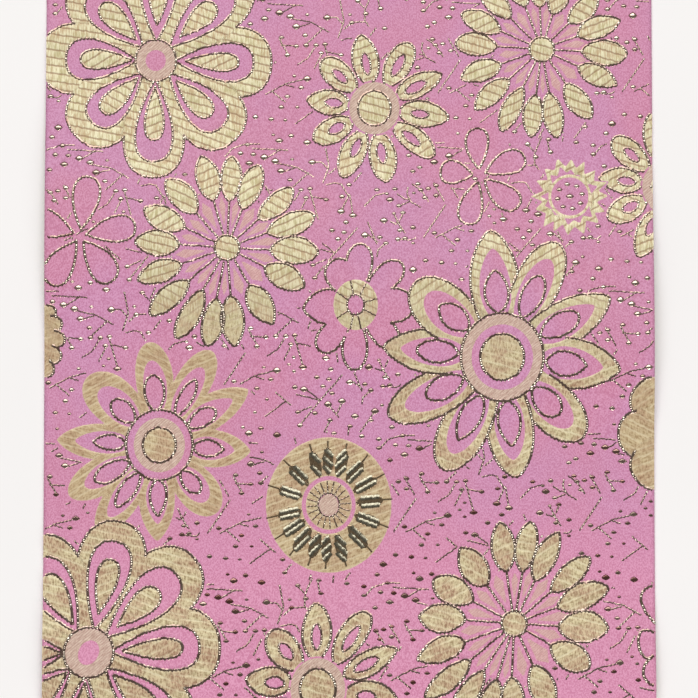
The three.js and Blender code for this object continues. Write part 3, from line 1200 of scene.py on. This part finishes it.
# %% [markdown]
# Gilt thread is a metal strip, so it shows what is around it: a bright window on one side, a dim room on
# the other. Each piece has a tone of its own, between fresh gilt and tarnish, and in front the tarnish is
# painted redder, a painted reflection of the pink cloth in the dark sides. The fan's blades have a duller
# gilt with fine scratches, in one tint for the flat leaves and one for the strips on them.

# %% The gilt finishes
# The first tarnish is for the front and is redder, a painted reflection of the pink cloth. The second is for
# the far part.
FRESH_GILT, TARNISH_AND_PINK_REFLECTION = ((228, 220, 198), (246, 242, 226)), ((120, 70, 64), (132, 88, 76))
LEAF_GILT, STRIP_GILT = ((144, 124, 98), (186, 164, 134)), ((124, 120, 104), (172, 168, 148))


def gilt_finish():
    finish, tree, spot = new_finish("gilt_thread", roughness=0.18, metallic=1.0)
    worn = noise(tree, spot, (1.2, 1.2, 1.2))
    # Painted reflection: the tarnish blends to the redder one in front, for the pink cloth seen in the
    # thread's dark sides.
    tarnish_and_reflection = blend(tree, use_group(tree, WINDOW_LUSTRE, Vector=spot)["Far"], *TARNISH_AND_PINK_REFLECTION)
    paint(tree, blend(tree, read_number(tree, "tone"), blend(tree, worn, *FRESH_GILT), tarnish_and_reflection), worn, 0.03)
    return finish


def blade_finish():
    finish, tree, spot = new_finish("blade_gilt", roughness=0.22, metallic=1.0)
    scratch = between(tree, noise(tree, spot, (2.2, 0.8, 1.0), 3.0), 0.3, 0.7)
    leaf, strip = (blend(tree, scratch, *pair) for pair in (LEAF_GILT, STRIP_GILT))
    paint(tree, blend(tree, read_number(tree, "tone"), leaf, strip), scratch, 0.04)
    return finish


gilt_thread, blade_gilt = gilt_finish(), blade_finish()

# %% [markdown]
# ## Strands of gilt
# The outline thread is a low arch, twisted to and fro by a little at every stitch, so that bright and dark
# follow each other along it. Beads are low domes on a round foot. The thread leans a little away from the
# window, least near the middle of the cloth. Only stitches inside the cut edge are kept.

# %% Strands and how they lie
LEAN_SPOTS, LEANS = (-150.0, -50.0, 150.0), (0.13, 0.05, 0.18)
FAR_WIDE, NEAR_WIDE, THREAD_SINK = 0.98, 1.14, 0.05
ROPE, ROPE_WANDER, WANDER_SPAN = 0.34, 0.20, 3
HEM = 0.6
stitches, twigs = (rows[(np.abs(rows[:, :2]) < CORNER - HEM).all(axis=1)] for rows in (stitches, twigs))
print(f"{len(stitches)} stitches in outlines, {len(twigs)} in twigs")


def dome(name, corners, power, rings):
    """A closed low dome of unit size on a round or lozenge-shaped foot."""
    angle = 2 * np.pi * np.arange(corners) / corners
    reach = (np.abs(np.cos(angle)) ** power + np.abs(np.sin(angle)) ** power) ** (-1 / power)
    foot = np.stack([reach * np.cos(angle), reach * np.sin(angle)], 1)
    levels = [np.column_stack([foot * radius, np.full(corners, high)]) for radius, high in rings]
    points = np.concatenate([*levels, [(0.0, 0.0, 1.0)]])
    faces = [tuple(range(corners))[::-1]]
    for a in range(len(rings) * corners):
        b = a - a % corners + (a + 1) % corners
        top = a >= (len(rings) - 1) * corners
        faces.append((a, b, len(points) - 1) if top else (a, b, b + corners, a + corners))
    piece = mesh_piece(name, points / MM, faces)
    piece.data.polygons[0].use_smooth = False
    return piece


def arch(name, corners, high):
    """The section of a drawn thread: a low arch as wide as two, closed below."""
    across = np.linspace(-1.0, 1.0, corners)
    points = np.stack([across, -high * (1.0 - across * across), np.zeros(corners)], 1)
    return mesh_piece(name, points / MM, edges=[(i, (i + 1) % corners) for i in range(corners)])


def thread_rise(x, y):
    """Height of the cloth under a thread, with the fills it lies on."""
    spots = np.stack([x, y], 1)
    over = face_at(x, y) - THREAD_SINK
    for layer, high in ((gold, FILL_HEIGHT), (pale, PALE_HEIGHT)):
        over = over + high * np.clip(-looked_up(layer, spots) / FILL_EDGE, 0.0, 1.0)
    return over


def bead_piece(name, rows, length, high, spread, tones):
    """Beads as one mesh, each about as long and high as stated and level with the cloth."""
    x, y, heading, width = rows[:, :4].T
    count = len(rows)
    middles = np.stack([x, y, thread_rise(x, y)], 1)
    sizes = np.stack([np.full(count, length), width, np.full(count, 2.0 * high)], 1) / 2
    sizes = sizes * draw.uniform(0.8, 1.15, (count, 3))
    tilt = slope_at(x, y) + draw.normal(0.0, spread, count)
    turns = np.stack([tilt * np.cos(heading), -tilt * np.sin(heading), heading], 1)
    return set_down(name, stitch, gilt_thread, middles, sizes, turns, draw.uniform(*tones, count))


def drawn_piece(name, rows, tones):
    """Stitches that follow one another as one drawn thread, twisted a little."""
    rows = rows.copy()
    x, y, count = rows[:, 0], rows[:, 1], len(rows)
    rows[:, 3] *= NEAR_WIDE + (FAR_WIDE - NEAR_WIDE) * (y / CLOTH_LENGTH + 0.5)
    wander = np.convolve(draw.uniform(-1.0, 1.0, count), np.ones(WANDER_SPAN) / WANDER_SPAN, "same")
    rope = ROPE * (-1.0) ** rows[:, 5] + draw.normal(0.0, ROPE_WANDER, count)
    leans = slope_at(x, y) + np.interp(y, LEAN_SPOTS, LEANS) + rope
    tone = (tones[0] + tones[1]) / 2 + wander * (tones[1] - tones[0]) / 2
    return draw_thread(name, section, gilt_thread, rows, thread_rise(x, y), leans, tone)


# %% [markdown]
# ## Outlines, twigs and dots
# Now every stitch on the chart becomes gilt: drawn thread along the outlines and twigs, beads on steep
# outlines, and the same domes laid level as rungs across steep twigs. Dots are domes on a lozenge, and
# those in front are flatter than those far off and take a tone nearer tarnish, which paints shade on them.

# %% Set down the outlines, twigs and dots
THREAD_TONES, BEAD_TONES, RUNG_TONES = (0.54, 0.88), (0.15, 0.6), (0.25, 0.7)
BEAD_LONG, BEAD_HIGH, BEAD_SPREAD, KNOTTED = 1.95, 0.46, 0.10, 0.88
RUNG_LONG, RUNG_HIGH, RUNG_SPREAD, RUNG_LEAN = 1.15, 0.32, 0.08, 0.25
# Dot tones run from darker in front to lighter far off: painted shade.
DOT_SPOTS, DOT_LEANS, DOT_HIGHS, DOT_SHADE_TONES = (-75.0, 15.0), (0.12, 0.03), (0.16, 0.32), (0.80, 0.50)
DOT_TALL, DOT_LEAN_SPREAD, DOT_TONE_SPREAD = 0.74, 0.05, 0.15
stitch = dome("stitch", 8, 2.2, ((1.0, 0.0), (0.76, 0.48)))
pillow = dome("pillow", 12, 1.3, ((1.0, 0.0), (0.68, 0.46), (0.34, 0.82)))
section = arch("section", 6, 0.26)
outline_thread = drawn_piece("outline_thread", stitches[stitches[:, 6] == 1], THREAD_TONES)
knots = stitches[stitches[:, 6] == 0]
knots = knots[draw.uniform(0.0, 1.0, len(knots)) < KNOTTED]
outline_beads = bead_piece("outline_beads", knots, BEAD_LONG, BEAD_HIGH, BEAD_SPREAD, BEAD_TONES)
sprig_thread = drawn_piece("sprig_thread", twigs[twigs[:, 6] == 1], THREAD_TONES)
ladder = twigs[twigs[:, 6] == 0]
ladder[:, 2] = np.clip(np.arctan(np.tan(ladder[:, 2])), -RUNG_LEAN, RUNG_LEAN)
sprig_rungs = bead_piece("sprig_rungs", ladder, RUNG_LONG, RUNG_HIGH, RUNG_SPREAD, RUNG_TONES)
dot_x, dot_y, dot_r = np.array(dots).T
count = len(dots)
# Painted shade: dots in front get a tone nearer tarnish, so they come out darker.
lean_of, high_of, dot_tone_with_shade = (np.interp(dot_y, DOT_SPOTS, ends) for ends in (DOT_LEANS, DOT_HIGHS, DOT_SHADE_TONES))
dot_tilt = slope_at(dot_x, dot_y) + (lean_of + draw.normal(0.0, DOT_LEAN_SPREAD, count))
dot_long = dot_r * DOT_TALL * draw.uniform(0.85, 1.1, count)
gilt_dots = set_down(
    "gilt_dots", pillow, gilt_thread,
    np.stack([dot_x, dot_y, face_at(dot_x, dot_y) - THREAD_SINK], 1),
    np.stack([dot_r, dot_long, dot_r * high_of], 1),
    np.stack([dot_tilt, np.zeros(count), np.zeros(count)], 1),
    dot_tone_with_shade + draw.uniform(-DOT_TONE_SPREAD, DOT_TONE_SPREAD, count),
)

# %% [markdown]
# Each blade of the fan is a flat leaf of tarnished floats, ragged at its edge because the loom works in
# steps, with a few bright strips drawn over it that zigzag as they are bound down. Level blades have them
# lengthwise. Steep ones have them slanting across, since the loom can't lay them upright. A thin stem
# runs on to the edge of the fan.

# %% The fan's blades
BLADE_TURNS = (4.6, 27, 49.6, 72, 91, 109, 137.6, 163.6, 191.6, 211, 230.5, 250, 267, 287, 314.4, 340.3)
BLADE_START, BLADE_END, STEM_START, STEM_END = 11.3, 22.8, 21.8, 26.8
BLADE_HALF, BLADE_STEP, BLADE_HIGH, BLADE_TOP = 2.35, 0.7, 0.09, 0.92
STEM_WIDTH, STREAK_WIDTH, STREAK_APART, STREAK_LIFT = 1.0, 1.85, 2.9, 0.16
SHORTEST_STREAK, STREAK_INSET, STEEPEST_FLOAT = 1.5, 0.06, 0.95
ZIGZAG, ZIGZAG_STEP = 0.28, 1.1
LIT_LEAN, DULL_LEAN, LIT_TONE, DULL_TONE = -0.14, 0.30, 1.0, 0.0


def crossings(u, v, level):
    """Where a closed path crosses a level."""
    nu, nv = np.roll(u, -1), np.roll(v, -1)
    at = (v > level) != (nv > level)
    return np.sort(u[at] + (nu[at] - u[at]) * (level - v[at]) / (nv[at] - v[at]))


def zigzag(first, last):
    """A drawn strip from first to last that wavers as it is bound."""
    reach = float(np.linalg.norm(last - first))
    count = max(round(reach / ZIGZAG_STEP), 2)
    share = np.linspace(0.0, 1.0, count + 1)[:, None]
    aside = np.array([first[1] - last[1], last[0] - first[0]]) / reach
    waver = ZIGZAG * (-1.0) ** np.arange(count + 1) * draw.uniform(0.4, 1.0, count + 1)
    path = first + (last - first) * share + aside * waver[:, None]
    return along_path(path, False, STREAK_WIDTH, LONG_PITCH)


def blade_rows():
    """Outlines of the blades, and the drawn strips on them and stems at their ends."""
    leaves, streaks, stems = [], [], []
    for turn in BLADE_TURNS:
        end, half = BLADE_END * vary(0.04), BLADE_HALF * vary(0.10)
        path = petal(turn, BLADE_START, end, half, base=0.60, tip=0.52) * (1.0, FAN_TALL)
        leaves.append(path)
        axis = math.atan2(FAN_TALL * math.sin(math.radians(turn)), math.cos(math.radians(turn)))
        heading = math.atan(max(-STEEPEST_FLOAT, min(STEEPEST_FLOAT, math.tan(axis))))
        u, v = turned(path[:, 0], path[:, 1], -math.degrees(heading)).T
        tallness = v.max() - v.min()
        streak_count = max(2, round(tallness / STREAK_APART))
        for order in range(streak_count):
            level = v.min() + tallness * (order + 0.35 + draw.uniform(0.0, 0.3)) / streak_count
            ends = crossings(u, v, level)
            if len(ends) == 2 and ends[1] - ends[0] > SHORTEST_STREAK:
                inset = (ends[1] - ends[0]) * STREAK_INSET
                ends = ends + (inset, -inset)
                streaks.append(zigzag(*turned(ends, np.full(2, level), math.degrees(heading))))
        stem = spoke(math.degrees(axis), STEM_START, STEM_END)
        stems.append(along_path(stem, False, STEM_WIDTH, LONG_PITCH))
    return leaves, np.concatenate(streaks), np.concatenate(stems)


def flat_leaves(name, paths, centre):
    """Closed flat leaves on the fills, cut in level steps as the loom cuts them, as one mesh."""
    points, faces = [], []
    for path in paths:
        rim = along_path(path, True, 1.0, BLADE_STEP / 2)[:-1, :2]
        rim[:, 1] = np.round(rim[:, 1] / BLADE_STEP) * BLADE_STEP
        rim = rim + centre
        start, count, middle = len(points), len(rim), rim.mean(axis=0)
        for share, rise in ((1.0, 0.0), (BLADE_TOP, BLADE_HIGH)):
            ringed = middle + (rim - middle) * share
            points += np.column_stack([ringed, thread_rise(*ringed.T) + rise]).tolist()
        ground = thread_rise(*middle[:, None])[0]
        points += [[*middle, ground], [*middle, ground + BLADE_HIGH]]
        for i in range(count):
            a, b = start + i, start + (i + 1) % count
            faces += [(a, b, b + count), (a, b + count, a + count)]
            faces += [(b, a, start + 2 * count), (a + count, b + count, start + 2 * count + 1)]
    piece = mesh_piece(name, points, faces, smooth=False)
    number_on_points(piece, "tone", np.full(len(points), DULL_TONE))
    piece.data.materials.append(blade_gilt)
    return piece


leaves, streaks, stems = blade_rows()
blade_leaves = flat_leaves("blade_leaves", leaves, np.array(FAN_CENTRE))
strips = np.concatenate([streaks, stems])
strips[:, :2] += FAN_CENTRE
x, y = strips[:, 0], strips[:, 1]
lit = np.arange(len(strips)) < len(streaks)
strip = arch("strip", 5, 0.17)
blade_thread = draw_thread(
    "blade_thread", strip, blade_gilt, strips,
    thread_rise(x, y) + np.where(lit, BLADE_HIGH + STREAK_LIFT, 0.0),
    slope_at(x, y) + np.where(lit, LIT_LEAN, DULL_LEAN), np.where(lit, LIT_TONE, DULL_TONE),
)
for helper in (stitch, pillow, section, strip):
    bpy.data.objects.remove(helper)

# %% [markdown]
# ## Every piece on the one body
# The sheet stands for the solid cloth and every woven piece goes with it on the one rigid body.

# %% Frame calls
GILT = (outline_thread, outline_beads, sprig_thread, sprig_rungs, gilt_dots, blade_leaves, blade_thread)
WOVEN = (gold_fill, pale_fill, *GILT)
SLOTS = ("gold_figure", "pale_figure") + ("gilt_thread",) * len(GILT)
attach(satin_sheet, "root")
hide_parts("brocade_cloth")
for piece, slot in zip(WOVEN, SLOTS):
    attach(piece, "root")
print(f"{len(WOVEN) + 1} pieces ride on the root body")

# %% [markdown]
# ## The table
# The cloth lies on a pale table. It belongs to the stage and not to the part, so it is one big square with
# a faintly clouded finish.

# %% Table
TABLE_HALF = 1.5
TABLE_TONES = ((244.63,) * 3, (249.31,) * 3)
corners = np.array([(-1, -1, 0), (1, -1, 0), (1, 1, 0), (-1, 1, 0)]) * TABLE_HALF
table = mesh_piece("table_top", corners / MM, [(0, 1, 2, 3)])


def table_finish():
    finish, tree, spot = new_finish("pale_table", roughness=0.7, specular=0.2)
    paint(tree, blend(tree, noise(tree, spot, (0.006, 0.006, 0.006)), *TABLE_TONES))
    return finish


table.data.materials.append(table_finish())

# %% [markdown]
# ## Light and camera
# One wide soft window stands beyond the far edge, with a weak fill low in front and a dim warm room
# around. The camera looks almost straight down, from a little in front of the middle, and its lens follows
# from its distance and the width of cloth in view.

# %% Light and camera
LIGHTS = rows_of(
    "name place_m size_m power tint",
    ("window", (-0.21, 2.07, 2.46), (4.5, 2.5), 107.0, (1.0, 0.99, 0.98)),
    ("low_fill", (0.2, -1.9, 0.62), (2.0, 0.5), 31.0, (1.0, 0.97, 0.98)),
)
ROOM_TINT, ROOM_STRENGTH = (1.0, 0.94, 0.88, 1.0), 0.23
PIXELS, PIXEL_MM, SENSOR_MM = 698, 0.42, 36.0
CAMERA_DISTANCE, CAMERA_ELEVATION, AIM_HEIGHT = 1.1, math.radians(87.0), 2.0 * MM


def put_in_scene(name, data, spot, target):
    """A lamp or camera at a place, looking at a target."""
    thing = bpy.data.objects.new(name, data)
    bpy.context.scene.collection.objects.link(thing)
    thing.location = spot
    away = np.array(target) - np.array(thing.location)
    level = math.hypot(away[0], away[1])
    thing.rotation_euler = (math.atan2(level, -away[2]), 0.0, math.atan2(-away[0], away[1]))
    return thing


for row in LIGHTS:
    lamp = bpy.data.lights.new(row["name"], "AREA")
    lamp.shape = "RECTANGLE"
    lamp.size, lamp.size_y = row["size_m"]
    lamp.energy, lamp.color = row["power"], row["tint"]
    put_in_scene(row["name"], lamp, row["place_m"], (0.0, 0.0, 0.0))
world = bpy.data.worlds.new("dim_room")
world.use_nodes = True
background = world.node_tree.nodes["Background"]
background.inputs["Color"].default_value = ROOM_TINT
background.inputs["Strength"].default_value = ROOM_STRENGTH
bpy.context.scene.world = world
bpy.context.scene.view_settings.view_transform = "Standard"
lens = bpy.data.cameras.new("camera")
lens.sensor_width, lens.sensor_fit = SENSOR_MM, "HORIZONTAL"
lens.lens = SENSOR_MM * CAMERA_DISTANCE / (PIXELS * PIXEL_MM * MM)
back, up = -CAMERA_DISTANCE * math.cos(CAMERA_ELEVATION), CAMERA_DISTANCE * math.sin(CAMERA_ELEVATION)
camera = put_in_scene("camera", lens, (0.0, back, up + AIM_HEIGHT), (0.0, 0.0, AIM_HEIGHT))
bpy.context.scene.camera = camera
